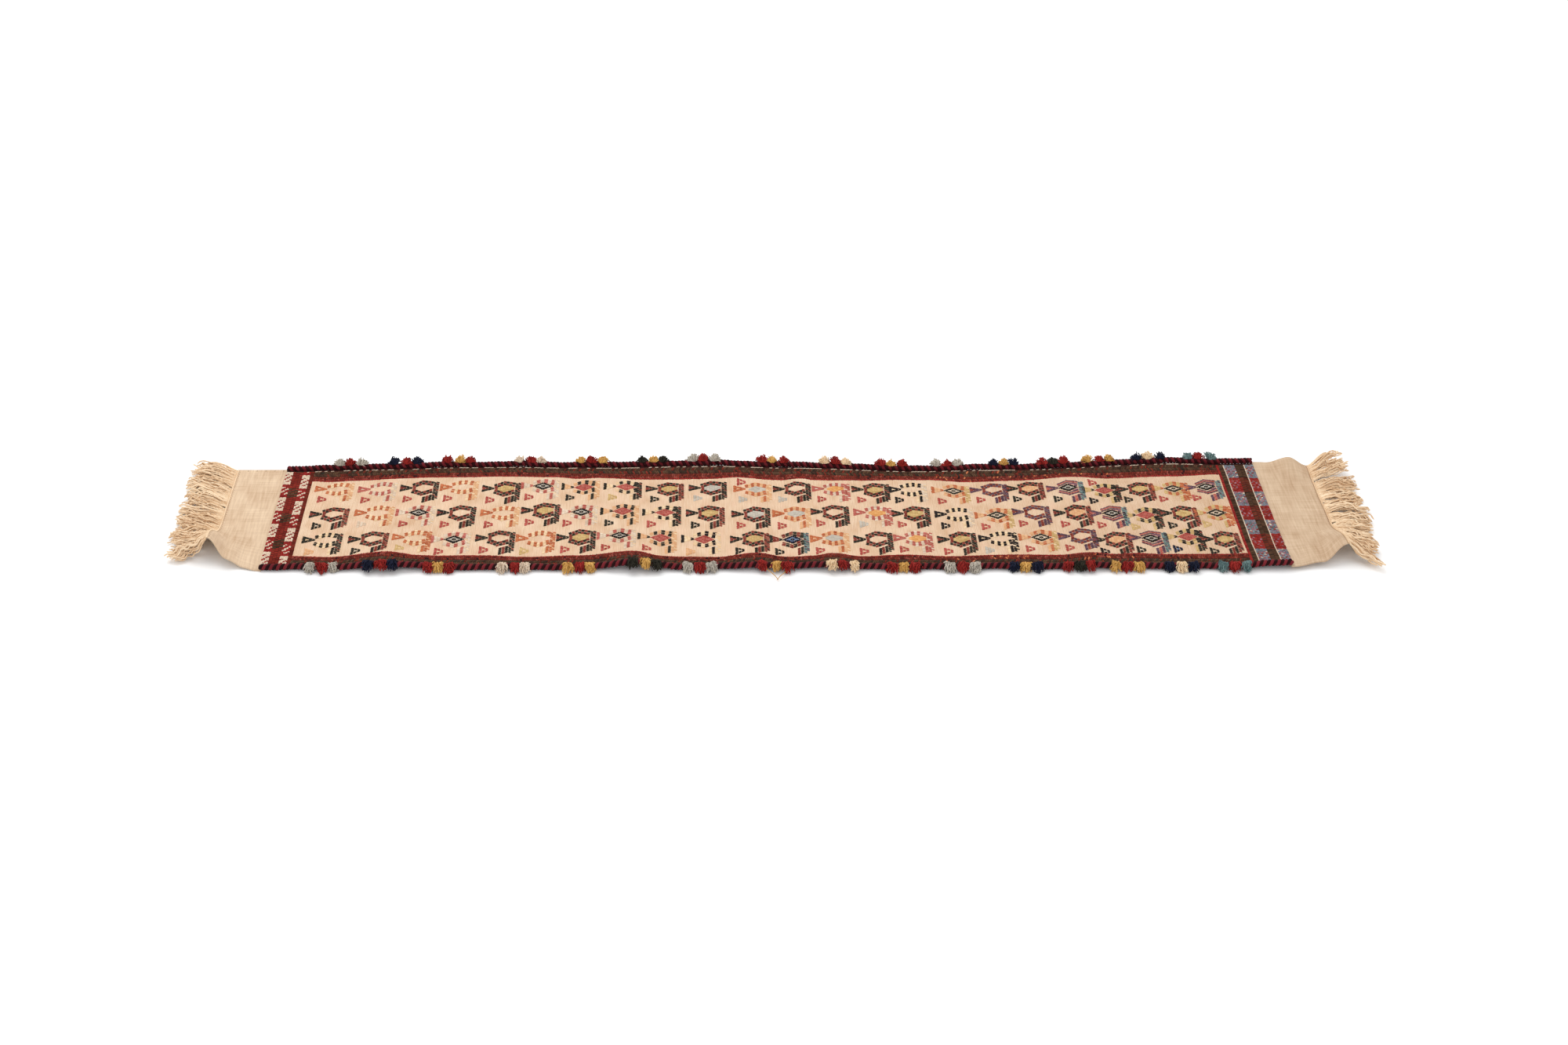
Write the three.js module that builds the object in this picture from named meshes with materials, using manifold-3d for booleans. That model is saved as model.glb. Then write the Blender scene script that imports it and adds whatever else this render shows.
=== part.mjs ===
// Hand-woven table runner: a long brocaded cloth with woven borders and checker bands, plain-weave end
// flaps that fold up at the bands, warp fringes, two-ply edge cords and yarn tassels along both long sides.
// Millimetres, +Z up. X runs along the length and Y across the width. The origin is at the middle of the
// outer box, on the surface that the cloth lies on.
import * as THREE from "three";
import { mergeVertices } from "three/addons/utils/BufferGeometryUtils.js";
import Module from "manifold-3d";

const wasm = await Module();
wasm.setup();

// Driving dimensions
const GAP = 0.3; // between neighbouring solids
const FIELD_END = 731; // the field runs from -FIELD_END to FIELD_END
const FIELD_HALF = 109; // half the width of the field
const BORDER = 27; // woven side border, with its ivory line
const CORD_RADIUS = 5;
const CORD_GAP = 0.7; // the cord lies along a border that is built of short straight steps
const CORD_REST = 0.05; // keeps the cord's smooth line off the surface between its steps
const THICK_CLOTH = 4; // brocaded cloth
const THIN_CLOTH = 1.3; // plain-weave flap
// Cross bands from the field outwards
const BANDS = ["inner_stripe", "inner_checker_band", "middle_stripe", "outer_checker_band"];
const LEFT_BAND_WIDTHS = [6, 12, 16, 11];
const RIGHT_BAND_WIDTHS = [12, 19, 15, 16];
const LEFT_FLAP = 77; // length of each flap beyond its bands
const RIGHT_FLAP = 87;
const HEADING = 3; // twined row that locks the warps at a flap's end
const HEADING_THICKNESS = 2;
const TUFT_LENGTH = 21;
const TUFT_RADIUS = 10.4;
const TUFT_FLATTENING = 0.6;
const TUFT_SPACING = 18;
const TASSEL_GAP = 0.9;
const BUNDLE_ROOT = 3.5; // thickness of a fringe bundle where it leaves the heading
const BUNDLE_SWELL = 5; // and how much thicker its loose middle is
const SHIFT = new THREE.Vector3(-1, -6, 0); // puts the origin at the middle of the outer box

const BORDER_EDGE = FIELD_HALF + BORDER;
const CORD_LINE = BORDER_EDGE + CORD_GAP + CORD_RADIUS;
const CLOTH_EDGE = CORD_LINE + CORD_RADIUS;
const total = (widths) => widths.reduce((sum, width) => sum + width, 0);
const LEFT_BAND_END = FIELD_END + total(LEFT_BAND_WIDTHS);
const RIGHT_BAND_END = FIELD_END + total(RIGHT_BAND_WIDTHS);
const LEFT_END = LEFT_BAND_END + LEFT_FLAP;
const RIGHT_END = RIGHT_BAND_END + RIGHT_FLAP;

// How the cloth lies. Each list gives places along the length and the edge's offset or height there.
const BACK_EDGE_WAVE = [
  [-776, -6], [-620, 0], [-500, 4], [-100, 6], [40, 4], [240, -7], [400, -2], [620, 12], [800, 13],
];
const FRONT_EDGE_WAVE = [[-776, 4], [-300, 2], [200, 0], [800, -1]];
const BACK_LIFT = [
  [-720, 0], [-430, 2], [-260, 0], [-90, 3], [60, 0], [560, 0], [660, 3], [760, 0], [815, 1], [852, 13],
  [881, 3],
];
const FRONT_LIFT = [
  [-854, 40], [-828, 16], [-800, 3], [-776, 0], [-660, 0], [-585, 6], [-500, 0], [-280, 0], [-212, 9],
  [-140, 0], [-90, 0], [-30, 4], [30, 1], [88, 5], [150, 0], [430, 0], [480, 3], [540, 0], [700, 0],
  [770, 5], [800, 6], [840, 9], [881, 30],
];
// How far an edge is drawn in where its corner curls up
const FRONT_PULL = [[-854, 30], [-820, 9], [-776, 0], [793, 0], [840, 8], [881, 26]];
const BACK_PULL = [[793, 0], [850, 4], [881, 14]];
const LIFT_REACH = 70; // how far a ripple runs in from the edge
const CURL_REACH = 130; // and how far a curled corner does
const TASSELS = [-675, -586, -500, -387, -288, -189, -107, 5, 105, 197, 287, 382, 464, 538, 620, 703];

// Yarn colours
const CREAM = "#e9cfae";
const PLAIN = "#e0c4a0";
const FRINGE = "#ddbf98";
const RED = "#9c2c2a";
const BRICK = "#7a2a25";
const MAROON = "#57191c";
const OLIVE = "#46382a";
const GREEN = "#33402f";
const GREY = "#bcb2a4";
const BLUE = "#8091a3";
const NAVY = "#23273f";
const YELLOW = "#c99a4e";
const TEAL = "#5d7683";
const TASSEL_COLOURS = [
  GREY, NAVY, RED, GREY, YELLOW, GREEN, GREY, RED, CREAM, RED, GREY, NAVY, RED, YELLOW, NAVY, TEAL,
];

const runner = new THREE.Group();

function addMesh(name, geometry, colour) {
  const material = new THREE.MeshStandardMaterial({ color: colour, roughness: 0.9, metalness: 0 });
  const mesh = new THREE.Mesh(geometry, material);
  mesh.name = name;
  runner.add(mesh);
}

// Value at one place of a list of places and values, with a smooth step between neighbours
function valueAt(list, place) {
  if (place <= list[0][0]) return list[0][1];
  for (let i = 1; i < list.length; i++) {
    const [start, low] = list[i - 1];
    const [end, high] = list[i];
    const share = (place - start) / (end - start);
    if (share <= 1) return low + ((high - low) * (1 - Math.cos(Math.PI * share))) / 2;
  }
  return list[list.length - 1][1];
}

// 1 at an edge, falling smoothly to 0 at the given reach from it
function fade(distance, reach) {
  return distance >= reach ? 0 : Math.cos((Math.PI * Math.max(distance, 0)) / (2 * reach)) ** 2;
}

// Where a point of the flat cloth lies: u along its length, v across it, above the cloth's underside
function clothPoint(u, v, above = 0) {
  const fromFront = (v + CLOTH_EDGE) / (2 * CLOTH_EDGE);
  const curled = u < -LEFT_BAND_END || u > RIGHT_BAND_END;
  const front = fade(v + CLOTH_EDGE, curled ? CURL_REACH : LIFT_REACH);
  const back = fade(CLOTH_EDGE - v, LIFT_REACH);
  const wave = valueAt(BACK_EDGE_WAVE, u) * fromFront + valueAt(FRONT_EDGE_WAVE, u) * (1 - fromFront);
  const pull = valueAt(FRONT_PULL, u) * front - (u > 0 ? valueAt(BACK_PULL, u) * back : 0);
  const lift = valueAt(FRONT_LIFT, u) * front + valueAt(BACK_LIFT, u) * back;
  return new THREE.Vector3(u, v + wave + pull, lift + above).add(SHIFT);
}

function steps(start, end, count) {
  return Array.from({ length: count + 1 }, (_, i) => start + ((end - start) * i) / count);
}

// Closed solid from rings of points, all with the same number of points, and a fan over each end
function ringSolid(rings) {
  const size = rings[0].length;
  const positions = rings.flat().flatMap((p) => [p.x, p.y, p.z]);
  const index = [];
  for (let ring = 0; ring + 1 < rings.length; ring++) {
    for (let i = 0; i < size; i++) {
      const a = ring * size + i;
      const b = ring * size + ((i + 1) % size);
      index.push(a, b, b + size, a, b + size, a + size);
    }
  }
  const last = (rings.length - 1) * size;
  for (let i = 1; i + 1 < size; i++) {
    index.push(0, i + 1, i);
    index.push(last, last + i, last + i + 1);
  }
  const geometry = new THREE.BufferGeometry();
  geometry.setAttribute("position", new THREE.Float32BufferAttribute(positions, 3));
  geometry.setIndex(index);
  return geometry;
}

// Closed slab of cloth between two lists of places along and across the runner
function clothSolid(us, vs, thickness, base = 0) {
  const columns = vs.length;
  const positions = [];
  for (const above of [base, base + thickness]) {
    for (const u of us) {
      for (const v of vs) positions.push(...clothPoint(u, v, above).toArray());
    }
  }
  const top = us.length * columns;
  const index = [];
  for (let i = 0; i + 1 < us.length; i++) {
    for (let j = 0; j + 1 < columns; j++) {
      const a = i * columns + j;
      const b = a + columns;
      index.push(a, a + 1, b + 1, a, b + 1, b);
      index.push(top + a, top + b, top + b + 1, top + a, top + b + 1, top + a + 1);
    }
  }
  const wall = (a, b) => index.push(a, b, top + b, a, top + b, top + a);
  for (let i = 0; i + 1 < us.length; i++) {
    wall(i * columns, (i + 1) * columns);
    wall((i + 2) * columns - 1, (i + 1) * columns - 1);
  }
  for (let j = 0; j + 1 < columns; j++) {
    wall(j + 1, j);
    wall((us.length - 1) * columns + j, (us.length - 1) * columns + j + 1);
  }
  const geometry = new THREE.BufferGeometry();
  geometry.setAttribute("position", new THREE.Float32BufferAttribute(positions, 3));
  geometry.setIndex(index);
  return geometry;
}

function addFieldAndBorders() {
  const us = steps(-FIELD_END + GAP / 2, FIELD_END - GAP / 2, 44);
  const fieldEdge = FIELD_HALF - GAP / 2;
  addMesh("brocaded_field", clothSolid(us, [-fieldEdge, -74, -40, 40, 74, fieldEdge], THICK_CLOTH), CREAM);
  const inner = FIELD_HALF + GAP / 2;
  addMesh("back_side_border", clothSolid(us, [inner, BORDER_EDGE], THICK_CLOTH), BRICK);
  addMesh("front_side_border", clothSolid(us, [-BORDER_EDGE, -inner], THICK_CLOTH), BRICK);
}

// Cross bands from the field outwards; side is -1 at the left end and 1 at the right end
function addEndBands(end, side, widths, colours) {
  let start = FIELD_END;
  BANDS.forEach((name, i) => {
    const us = [side * (start + GAP / 2), side * (start + widths[i] - GAP / 2)].sort((a, b) => a - b);
    addMesh(`${end}_${name}`, clothSolid(us, steps(-BORDER_EDGE, BORDER_EDGE, 12), THICK_CLOTH), colours[i]);
    start += widths[i];
  });
}

function addEdgeCord(name, side) {
  const height = CORD_RADIUS + CORD_REST;
  const line = steps(-LEFT_BAND_END, RIGHT_BAND_END, 46).map((u) => clothPoint(u, side * CORD_LINE, height));
  const section = steps(0, 7, 7).map((i) => {
    const angle = (i * Math.PI) / 4;
    return new THREE.Vector2(CORD_RADIUS * Math.cos(angle), CORD_RADIUS * Math.sin(angle));
  });
  const extrudePath = new THREE.CatmullRomCurve3(line);
  addMesh(name, new THREE.ExtrudeGeometry(new THREE.Shape(section), { steps: 46, extrudePath }), MAROON);
}

function addFlap(end, side, bandEnd, flapEnd) {
  const us = steps(side * (bandEnd + GAP), side * (flapEnd - GAP), 9).sort((a, b) => a - b);
  const vs = steps(-CLOTH_EDGE, CLOTH_EDGE, 14);
  addMesh(`${end}_end_flap`, clothSolid(us, vs, THIN_CLOTH), PLAIN);
  const row = [side * flapEnd, side * (flapEnd + HEADING)].sort((a, b) => a - b);
  addMesh(`${end}_fringe_heading`, clothSolid(row, vs, HEADING_THICKNESS), FRINGE);
}

// A bundle of loose warp ends: its root lies between two places across the cloth, and from there it is
// an eight-sided flattened tube. The tip is [x beyond the heading, y, height of its underside, half width].
function addFringeBundle(name, side, flapEnd, from, to, tip) {
  const rootU = side * (flapEnd + HEADING + GAP);
  const front = clothPoint(rootU, from);
  const back = clothPoint(rootU, to);
  const [reach, tipY, tipHeight, tipHalf] = tip;
  const { lerp, clamp } = THREE.MathUtils;
  const flatToFlat = 1 / Math.cos(Math.PI / 8);
  const rings = steps(0, 1, 6).map((t) => {
    const centre = lerp((front.y + back.y) / 2, tipY, t);
    const half = lerp((back.y - front.y) / 2, tipHalf, t) * flatToFlat;
    const thickness = BUNDLE_ROOT + BUNDLE_SWELL * Math.sin(Math.PI * t);
    return steps(0, 7, 7).map((i) => {
      const angle = ((i + 0.5) * Math.PI) / 4;
      const y = centre + half * Math.cos(angle);
      const rootHeight = lerp(front.z, back.z, clamp((y - front.y) / (back.y - front.y), 0, 1));
      const above = (thickness * (1 + Math.sin(angle) * flatToFlat)) / 2;
      return new THREE.Vector3(front.x + side * reach * t, y, lerp(rootHeight, tipHeight, t) + above);
    });
  });
  if (side < 0) rings.forEach((ring) => ring.reverse());
  addMesh(name, ringSolid(rings), FRINGE);
}

const LEFT_FRINGE = [
  [-CLOTH_EDGE + 2, -88, [86, -124, 17, 20]],
  [-84, -31, [92, -72, 0, 24]],
  [-27, 27, [88, -6, 0, 27]],
  [31, 86, [78, 54, 0, 24]],
  [90, CLOTH_EDGE - 3, [62, 112, 0, 22]],
];
const RIGHT_FRINGE = [
  [-CLOTH_EDGE + 2, -88, [66, -132, 8, 26]],
  [-84, -31, [62, -70, 0, 26]],
  [-27, 27, [67, -4, 0, 26]],
  [31, 86, [66, 58, 0, 24]],
  [90, CLOTH_EDGE - 3, [58, 130, 16, 22]],
];

function addFringe(end, side, flapEnd, bundles) {
  bundles.forEach(([from, to, tip], i) => {
    addFringeBundle(`${end}_fringe_bundle_${i + 1}`, side, flapEnd, from, to, tip);
  });
}

function toManifold(geometry) {
  const bare = geometry.clone();
  bare.deleteAttribute("normal");
  bare.deleteAttribute("uv");
  const merged = mergeVertices(bare, 1e-4);
  const vertProperties = new Float32Array(merged.attributes.position.array);
  const triVerts = new Uint32Array(merged.index.array);
  return new wasm.Manifold(new wasm.Mesh({ numProp: 3, vertProperties, triVerts }));
}

function fromManifold(solid) {
  const mesh = solid.getMesh();
  const geometry = new THREE.BufferGeometry();
  geometry.setAttribute("position", new THREE.Float32BufferAttribute(mesh.vertProperties, 3));
  geometry.setIndex(new THREE.Uint32BufferAttribute(mesh.triVerts, 1));
  return geometry;
}

// One tuft of cut yarn: a flattened teardrop that lies on the surface and points away from the cord
function tuftSolid(u, side) {
  const outline = [[0, 0], [4.5, 0.6], [TUFT_RADIUS, 12], [7, TUFT_LENGTH - 2.5], [0, TUFT_LENGTH]];
  const tuft = new THREE.LatheGeometry(outline.map(([r, along]) => new THREE.Vector2(r, along)), 7);
  tuft.scale(1, 1, TUFT_FLATTENING);
  if (side < 0) tuft.rotateZ(Math.PI);
  const edge = clothPoint(u, side * (CLOTH_EDGE + TASSEL_GAP));
  tuft.translate(edge.x, edge.y, edge.z + TUFT_RADIUS * TUFT_FLATTENING);
  return toManifold(tuft);
}

// Three tufts side by side, joined where their yarns spread
function addTassel(name, side, centre, colour) {
  const [first, middle, last] = [-1, 0, 1].map((step) => tuftSolid(centre + step * TUFT_SPACING, side));
  addMesh(name, fromManifold(first.add(middle).add(last)), colour);
}

function addTassels(name, side) {
  TASSELS.forEach((centre, i) => {
    addTassel(`${name}_tassel_${String(i + 1).padStart(2, "0")}`, side, centre, TASSEL_COLOURS[i]);
  });
}

addFieldAndBorders();
addEndBands("left", -1, LEFT_BAND_WIDTHS, [BRICK, GREY, OLIVE, RED]);
addEndBands("right", 1, RIGHT_BAND_WIDTHS, [BRICK, BLUE, OLIVE, RED]);
addEdgeCord("back_edge_cord", 1);
addEdgeCord("front_edge_cord", -1);
addFlap("left", -1, LEFT_BAND_END, LEFT_END);
addFlap("right", 1, RIGHT_BAND_END, RIGHT_END);
addFringe("left", -1, LEFT_END, LEFT_FRINGE);
addFringe("right", 1, RIGHT_END, RIGHT_FRINGE);
addTassels("back", 1);
addTassels("front", -1);

export default runner;
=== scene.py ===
"""Looks of the hand-woven table runner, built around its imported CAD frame.

Lengths are millimetres in the flat cloth (u along it, v across it, h above its underside), until lay() puts
a point where the cloth lies, in metres in the frame's axes. Materials and the stage are in metres too.
"""

import math

import bpy
import numpy as np
from mathutils import Matrix


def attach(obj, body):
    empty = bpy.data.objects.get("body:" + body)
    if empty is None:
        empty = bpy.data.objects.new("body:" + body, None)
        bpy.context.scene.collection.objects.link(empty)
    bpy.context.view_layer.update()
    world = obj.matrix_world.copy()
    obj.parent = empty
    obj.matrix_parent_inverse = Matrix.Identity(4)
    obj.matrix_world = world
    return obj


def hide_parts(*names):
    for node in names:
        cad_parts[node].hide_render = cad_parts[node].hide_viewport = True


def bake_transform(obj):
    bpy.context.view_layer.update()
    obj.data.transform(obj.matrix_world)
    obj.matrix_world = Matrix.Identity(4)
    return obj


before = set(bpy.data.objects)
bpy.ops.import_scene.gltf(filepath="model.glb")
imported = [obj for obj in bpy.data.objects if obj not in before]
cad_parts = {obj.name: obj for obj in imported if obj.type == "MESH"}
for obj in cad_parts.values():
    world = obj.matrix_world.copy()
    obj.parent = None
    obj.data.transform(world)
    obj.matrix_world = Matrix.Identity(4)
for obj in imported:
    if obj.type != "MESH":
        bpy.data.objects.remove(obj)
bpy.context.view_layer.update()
random = np.random.default_rng(7)

# The cloth's driving dimensions, the same as in the CAD
MM = 0.001
FIELD_END = 731
FIELD_HALF = 109
BORDER_EDGE = 136
CORD_LINE = 141.7
CORD_HEIGHT = 5.05
CLOTH_EDGE = 146.7
LEFT_BAND_WIDTHS = (6, 12, 16, 11)
RIGHT_BAND_WIDTHS = (12, 19, 15, 16)
LEFT_BAND_END = FIELD_END + sum(LEFT_BAND_WIDTHS)
RIGHT_BAND_END = FIELD_END + sum(RIGHT_BAND_WIDTHS)
LEFT_END = LEFT_BAND_END + 77
RIGHT_END = RIGHT_BAND_END + 87
HEADING = 3
SHIFT = (-1, -6)
LIFT_REACH = 70
CURL_REACH = 130
BACK_EDGE_WAVE = [
    (-776, -6), (-620, 0), (-500, 4), (-100, 6), (40, 4), (240, -7), (400, -2), (620, 12), (800, 13),
]
FRONT_EDGE_WAVE = [(-776, 4), (-300, 2), (200, 0), (800, -1)]
BACK_LIFT = [
    (-720, 0), (-430, 2), (-260, 0), (-90, 3), (60, 0), (560, 0), (660, 3), (760, 0), (815, 1), (852, 13),
    (881, 3),
]
FRONT_LIFT = [
    (-854, 40), (-828, 16), (-800, 3), (-776, 0), (-660, 0), (-585, 6), (-500, 0), (-280, 0), (-212, 9),
    (-140, 0), (-90, 0), (-30, 4), (30, 1), (88, 5), (150, 0), (430, 0), (480, 3), (540, 0), (700, 0),
    (770, 5), (800, 6), (840, 9), (881, 30),
]
FRONT_PULL = [(-854, 30), (-820, 9), (-776, 0), (793, 0), (840, 8), (881, 26)]
BACK_PULL = [(793, 0), (850, 4), (881, 14)]
TASSELS = (-675, -586, -500, -387, -288, -189, -107, 5, 105, 197, 287, 382, 464, 538, 620, 703)

# How far the inner edges of the side borders wander from straight, which the CAD leaves out. The wander fades
# towards the middle of the cloth and past the ends of the field.
DRIFT_CALM = 20  # half the width of the strip in the middle that does not wander
DRIFT_FADE = 20  # past the ends of the field
BACK_DRIFT = [
    (-731, -3), (-700, -7), (-650, -5), (-600, -1), (-400, 1), (-350, -1), (-310, -6), (-270, -3), (-200, -9),
    (-100, -9), (-50, -4), (15, -10), (50, -4), (70, -8), (150, -6), (210, 0), (250, 0), (320, -8), (400, -7),
    (480, 1), (550, -9), (650, -8), (731, -2),
]
FRONT_DRIFT = [
    (-731, -1), (-680, -4), (-590, 8), (-545, -1), (-440, 0), (-370, -5), (-300, -1), (-215, 8), (-175, -4),
    (-90, -6), (-25, 4), (15, -6), (60, -3), (90, 4), (130, -4), (200, 2), (260, -3), (340, 1), (440, 0),
    (490, 4), (520, 1), (560, 4), (600, 0), (731, 0),
]

# What this script adds
GROUND_TOP = 3.0  # woven ground under the wrapped floats
GROUND_EDGE = 138.5  # of the ground, tucked under the cord
GROUND_STEPS = (524, 71)  # grid points along and across
FLAP_TOP = 1.3
FLAP_STEPS = (46, 130)
FLAP_ROOT = 3  # of flap inside the end of the ground
FLOAT_WIDTH = 2.0
FLOAT_HEIGHT = 0.85

# Yarn colours, dark and light tone of each, as sRGB
YARNS = {
    "pale": ("#c4ab92", "#ead8c2"),
    "cream": ("#dcb98e", "#f1d8b4"),
    "silver": ("#a99f92", "#cfc6b8"),
    "grey": ("#9a9184", "#d2c9bb"),
    "straw": ("#b4925a", "#dabb84"),
    "peach": ("#cf9a6d", "#e6b98e"),
    "amber": ("#c98645", "#e8b477"),
    "yellow": ("#ad7833", "#e6b96c"),
    "orange": ("#a14c2a", "#cf7f55"),
    "rose": ("#9c4439", "#c9776a"),
    "coral": ("#90342c", "#c4655a"),
    "madder": ("#64221a", "#9d4e40"),
    "red": ("#691310", "#aa322c"),
    "brick": ("#430f07", "#873322"),
    "wine": ("#4f1218", "#96343b"),
    "maroon": ("#190607", "#3d1013"),
    "umber": ("#6b4a33", "#9a7656"),
    "olive": ("#20130a", "#624530"),
    "green": ("#15120c", "#3d392e"),
    "black": ("#0d0b0a", "#2c2624"),
    "navy": ("#0a0c1b", "#23283f"),
    "blue": ("#47587a", "#8197b5"),
    "slate": ("#5b5f6a", "#8f929a"),
    "teal": ("#3c5557", "#7c9492"),
    "purple": ("#3c2834", "#745562"),
    "mauve": ("#7a4a52", "#ad7c82"),
}


def value_at(places, u):
    """Value at u of a list of places and values, with a smooth step between neighbours."""
    at, value = np.array(places, float).T
    i = np.clip(np.searchsorted(at, u) - 1, 0, len(at) - 2)
    share = np.clip((u - at[i]) / (at[i + 1] - at[i]), 0, 1)
    return value[i] + (value[i + 1] - value[i]) * (1 - np.cos(np.pi * share)) / 2


def fade(distance, reach):
    """1 at an edge, falling smoothly to 0 at reach from it."""
    return np.where(distance >= reach, 0, np.cos(np.pi * np.clip(distance, 0, reach) / (2 * reach)) ** 2)


def relief(u, v):
    """Slight unevenness of the hand-woven cloth, 0 at the edges and never below the surface it lies on."""
    inside = np.clip((CLOTH_EDGE - np.abs(v)) / 30, 0, 1)
    waves = 2 + np.sin(u / 19 + 2 * np.sin(v / 31)) + np.sin(v / 11 + 1.7 * np.sin(u / 41))
    return 0.3 * waves * inside


def drift(u, v):
    """How far the weave has wandered across the cloth: most at the inner edges of the side borders."""
    outside = (BORDER_EDGE - np.abs(v)) / (BORDER_EDGE - FIELD_HALF)
    inside = (np.abs(v) - DRIFT_CALM) / (FIELD_HALF - DRIFT_CALM)
    across = np.clip(np.minimum(outside, inside), 0, 1)
    along = np.clip((FIELD_END + DRIFT_FADE - np.abs(u)) / DRIFT_FADE, 0, 1)
    return np.where(v > 0, value_at(BACK_DRIFT, u), value_at(FRONT_DRIFT, u)) * across * along


def lay(u, v, h):
    """Where points of the flat cloth lie, in metres."""
    u, v, h = np.broadcast_arrays(np.asarray(u, float), np.asarray(v, float), np.asarray(h, float))
    v = v + drift(u, v)
    from_front = (v + CLOTH_EDGE) / (2 * CLOTH_EDGE)
    reach = np.where((u < -LEFT_BAND_END) | (u > RIGHT_BAND_END), CURL_REACH, LIFT_REACH)
    front = fade(v + CLOTH_EDGE, reach)
    back = fade(CLOTH_EDGE - v, LIFT_REACH)
    wave = value_at(BACK_EDGE_WAVE, u) * from_front + value_at(FRONT_EDGE_WAVE, u) * (1 - from_front)
    pull = value_at(FRONT_PULL, u) * front - np.where(u > 0, value_at(BACK_PULL, u), 0) * back
    lift = value_at(FRONT_LIFT, u) * front + value_at(BACK_LIFT, u) * back
    place = (u + SHIFT[0], v + wave + pull + SHIFT[1], lift + h + relief(u, v))
    return np.stack(place, -1) * MM


# Meshes --------------------


def make_object(name, points, face_sets, material, cloth, shade=None):
    """Mesh object from points in metres and arrays of faces, with each point's cloth place and yarn shade."""
    mesh = bpy.data.meshes.new(name)
    points = np.asarray(points, np.float32)
    mesh.vertices.add(len(points))
    mesh.vertices.foreach_set("co", points.ravel())
    loops = np.concatenate([np.asarray(f).ravel() for f in face_sets]).astype(np.int32)
    sizes = np.concatenate([np.full(len(f), np.shape(f)[1]) for f in face_sets])
    mesh.loops.add(len(loops))
    mesh.loops.foreach_set("vertex_index", loops)
    mesh.polygons.add(len(sizes))
    mesh.polygons.foreach_set("loop_start", (np.cumsum(sizes) - sizes).astype(np.int32))
    mesh.update(calc_edges=True)
    mesh.validate()
    mesh.shade_smooth()
    places = mesh.attributes.new("cloth", "FLOAT_VECTOR", "POINT")
    places.data.foreach_set("vector", (np.asarray(cloth) * MM).astype(np.float32).ravel())
    shade = np.full(len(points), 0.5) if shade is None else shade
    shades = mesh.attributes.new("shade", "FLOAT", "POINT")
    shades.data.foreach_set("value", np.asarray(shade, np.float32))
    mesh.materials.append(material)
    obj = bpy.data.objects.new(name, mesh)
    bpy.context.scene.collection.objects.link(obj)
    return obj


def finish_piece(obj, body, slot, nodes=()):
    """The piece rides on a body and may stand for CAD nodes, which it hides. Its slot is not used."""
    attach(obj, body)
    if nodes:
        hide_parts(*nodes)
    return obj


def slab(us, vs, top, bottom=0.0):
    """Points (u, v, h) and faces of a closed slab of cloth over the grid us by vs."""
    grid_u, grid_v = (g.ravel() for g in np.meshgrid(us, vs, indexing="ij"))
    count, rows = len(vs), len(us)
    low = np.stack([grid_u, grid_v, np.full_like(grid_u, bottom)], -1)
    high = np.stack([grid_u, grid_v, np.full_like(grid_u, top)], -1)
    i, j = (g.ravel() for g in np.meshgrid(np.arange(rows - 1), np.arange(count - 1), indexing="ij"))
    a = i * count + j
    b = a + count
    offset = rows * count
    under = np.stack([a, a + 1, b + 1, b], -1)
    over = np.stack([a, b, b + 1, a + 1], -1) + offset
    rim = np.concatenate([
        np.arange(rows) * count,
        (rows - 1) * count + np.arange(1, count),
        np.arange(rows - 2, -1, -1) * count + count - 1,
        np.arange(count - 2, 0, -1),
    ])
    following = np.roll(rim, -1)
    walls = np.stack([rim, following, following + offset, rim + offset], -1)
    return np.concatenate([low, high]), [under, over, walls]


def tube_faces(count, rings, sides):
    """Faces of closed tubes whose points come tube by tube and ring by ring."""
    ring = np.arange(sides)
    following = np.roll(ring, -1)
    step = (np.arange(rings - 1) * sides)[:, None, None]
    quads = (np.stack([ring, following, following + sides, ring + sides], -1) + step).reshape(-1, 4)
    caps = np.stack([ring[::-1], ring + sides * (rings - 1)])
    start = (np.arange(count) * rings * sides)[:, None, None]
    return [(quads + start).reshape(-1, 4), (caps + start).reshape(-1, sides)]


# Rings of points of one float: (place along it, size, rise), as shares of its length, width and height
FLOAT_RINGS = ((-0.5, 0.55, -0.35), (-0.36, 1, 0), (0.36, 1, 0), (0.5, 0.55, -0.35))
FLOAT_SIDES = 6
FLOAT_TURN = 0.06  # typical unevenness of a float's angle, in radians
FLOAT_SLIP = 0.12  # and of its place


def float_mesh(u, v, angle, length, width, height=FLOAT_HEIGHT, base=GROUND_TOP):
    """Points and faces of wrapped floats, small pills that bulge from the cloth and dive in at both ends, and
    the number of points of each."""
    along, size, rise = np.repeat(FLOAT_RINGS, FLOAT_SIDES, axis=0).T
    turn = np.tile((np.arange(FLOAT_SIDES) + 0.5) * 2 * np.pi / FLOAT_SIDES, len(FLOAT_RINGS))
    a = length[:, None] * along
    b = width[:, None] * (np.cos(turn) * size / 2)
    h = np.broadcast_to(base + height * (np.sin(turn) * size + rise), a.shape)
    c, s = np.cos(angle)[:, None], np.sin(angle)[:, None]
    points = np.stack([u[:, None] + a * c - b * s, v[:, None] + a * s + b * c, h], -1)
    faces = [f[:, ::-1] for f in tube_faces(len(u), len(FLOAT_RINGS), FLOAT_SIDES)]
    return points.reshape(-1, 3), faces, len(turn)


def add_floats(name, rows, yarn):
    """One object of yarn floats from an array of rows (u, v, angle, length, width)."""
    rows[:, 2] += random.normal(0, FLOAT_TURN, len(rows))
    rows[:, 0:2] += random.normal(0, FLOAT_SLIP, (len(rows), 2))
    cloth, faces, size = float_mesh(*rows.T)
    shade = np.repeat(random.random(len(rows)), size)
    return make_object(name, lay(*cloth.T), faces, yarn_material(yarn), cloth, shade)


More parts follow.
